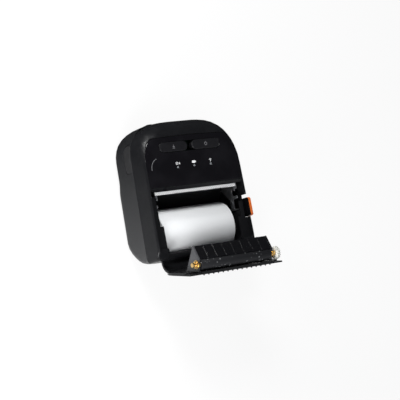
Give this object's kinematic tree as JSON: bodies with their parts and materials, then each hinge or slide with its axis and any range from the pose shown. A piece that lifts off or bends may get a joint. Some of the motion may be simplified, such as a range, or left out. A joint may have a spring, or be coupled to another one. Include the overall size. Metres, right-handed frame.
{
  "type": "portable label printer",
  "caption": "Portable label printer lying on its back, hinged paper cover open, with paper roll, rubber roller, print head, gear drive, latch lever, keys, battery and port flap.",
  "frame": {"origin": "centre of the flat lower half of the back, on which the printer lies", "axes": "+X to the right seen from the front with the keys at the top, +Y from the cover's hinge end towards the keys, +Z from the back out of the front face, up"},
  "size_m": [0.1172, 0.1542, 0.1012],
  "materials": {
    "casing": "fine matte texture, charcoal black",
    "panel": "high gloss black",
    "inner_moulding": "satin black moulding",
    "frame_steel": "zinc plated sheet",
    "shaft_steel": "bright turned steel",
    "tear_steel": "bright pressed steel",
    "head_ceramic": "glazed ceramic strip",
    "aluminium": "plain cast and turned aluminium",
    "circuit_board": "green solder mask",
    "battery_case": "matte black",
    "key_plastic": "satin charcoal",
    "switch_plastic": "moulded black",
    "brass": "turned brass",
    "white_gear": "natural white nylon",
    "flap_rubber": "soft matte rubber",
    "light_guide": "clear moulded light guide",
    "orange_lever": "satin orange",
    "roller_rubber": "ground rubber, dark grey",
    "paper": "coated thermal paper, white",
    "card": "rolled card"
  },
  "bodies": {
    "body": {"rear_housing": "casing", "front_housing": "casing", "control_panel": "panel", "paper_compartment": "inner_moulding", "left_side_frame": "frame_steel", "right_side_frame": "frame_steel", "frame_crossbar": "frame_steel", "tear_bar": "tear_steel", "thermal_print_head": "head_ceramic", "head_heat_sink": "aluminium", "head_spring_left": "shaft_steel", "head_spring_right": "shaft_steel", "main_circuit_board": "circuit_board", "battery_contact_block": "brass", "drive_motor": "aluminium", "reduction_axle": "shaft_steel", "idler_axle": "shaft_steel", "usb_socket": "tear_steel", "charging_jack": "switch_plastic", "paper_sensor": "switch_plastic", "cover_switch": "switch_plastic", "status_light_guide": "light_guide", "battery_light_guide": "light_guide", "radio_light_guide": "light_guide", "feed_switch": "switch_plastic", "power_switch": "switch_plastic", "hinge_pin": "shaft_steel", "case_screw_1": "shaft_steel", "case_screw_2": "shaft_steel", "case_screw_3": "shaft_steel", "case_screw_4": "shaft_steel"},
    "cover": {"cover_shell": "casing", "platen_frame": "inner_moulding", "paper_comb": "inner_moulding", "platen_bush_left": "brass", "platen_bush_right": "brass"},
    "platen": {"platen_shaft": "shaft_steel", "platen_rubber": "roller_rubber", "platen_gear": "white_gear"},
    "roll": {"paper_roll": "paper", "roll_core": "card"},
    "latch": {"latch_shaft": "shaft_steel", "latch_hook_left": "frame_steel", "latch_hook_right": "frame_steel", "release_lever": "orange_lever"},
    "feed_key": {"feed_button": "key_plastic"},
    "power_key": {"power_button": "key_plastic"},
    "motor_rotor": {"motor_pinion": "brass"},
    "reduction": {"reduction_gear": "white_gear"},
    "idler": {"idler_gear": "white_gear"},
    "port_cover": {"port_flap": "flap_rubber"},
    "battery": {"battery_pack": "battery_case"},
    "battery_catch": {"battery_latch": "key_plastic"}
  },
  "joints": [
    {"name": "cover_hinge", "type": "hinge", "parent": "body", "child": "cover", "pos_m": [0, -0.0432, 0.0436], "axis": [-1, 0, 0], "range_deg": [0, 99]},
    {"name": "platen_spin", "type": "hinge", "parent": "cover", "child": "platen", "pos_m": [0, -0.0574, 0.09491], "axis": [1, 0, 0], "continuous": true},
    {"name": "roll_spin", "type": "hinge", "parent": "body", "child": "roll", "pos_m": [0, -0.0197, 0.028], "axis": [1, 0, 0], "continuous": true},
    {"name": "latch_release", "type": "hinge", "parent": "body", "child": "latch", "pos_m": [0, 0.023, 0.03], "axis": [-1, 0, 0], "range_deg": [0, 5], "stiffness_Nm_per_rad": 0.3, "springref_deg": -11.46},
    {"name": "feed_press", "type": "slide", "parent": "body", "child": "feed_key", "axis": [0, 0, -1], "range_m": [0, 0.0008], "stiffness_N_per_m": 500, "springref_m": -0.0008},
    {"name": "power_press", "type": "slide", "parent": "body", "child": "power_key", "axis": [0, 0, -1], "range_m": [0, 0.0008], "stiffness_N_per_m": 500, "springref_m": -0.0008},
    {"name": "reduction_spin", "type": "hinge", "parent": "body", "child": "reduction", "pos_m": [0, 0.03699, 0.0413], "axis": [1, 0, 0], "continuous": true},
    {"name": "idler_spin", "type": "hinge", "parent": "body", "child": "idler", "pos_m": [0, 0.01959, 0.0413], "axis": [1, 0, 0], "continuous": true},
    {"name": "motor_spin", "type": "hinge", "parent": "body", "child": "motor_rotor", "pos_m": [0, 0.05039, 0.03356], "axis": [1, 0, 0], "continuous": true},
    {"name": "port_flap_hinge", "type": "hinge", "parent": "body", "child": "port_cover", "pos_m": [-0.0563, 0.0545, 0.0254], "axis": [0, -1, 0], "range_deg": [0, 100]},
    {"name": "battery_removal", "type": "slide", "parent": "body", "child": "battery", "axis": [0, 0, -1], "range_m": [0, 0.02]},
    {"name": "battery_catch_slide", "type": "slide", "parent": "body", "child": "battery_catch", "axis": [0, -1, 0], "range_m": [0, 0.0025], "stiffness_N_per_m": 200, "springref_m": -0.001}
  ],
  "couplings": [
    {"joint": "idler_spin", "follows": "reduction_spin", "ratio": -2},
    {"joint": "motor_spin", "follows": "reduction_spin", "ratio": -3}
  ]
}
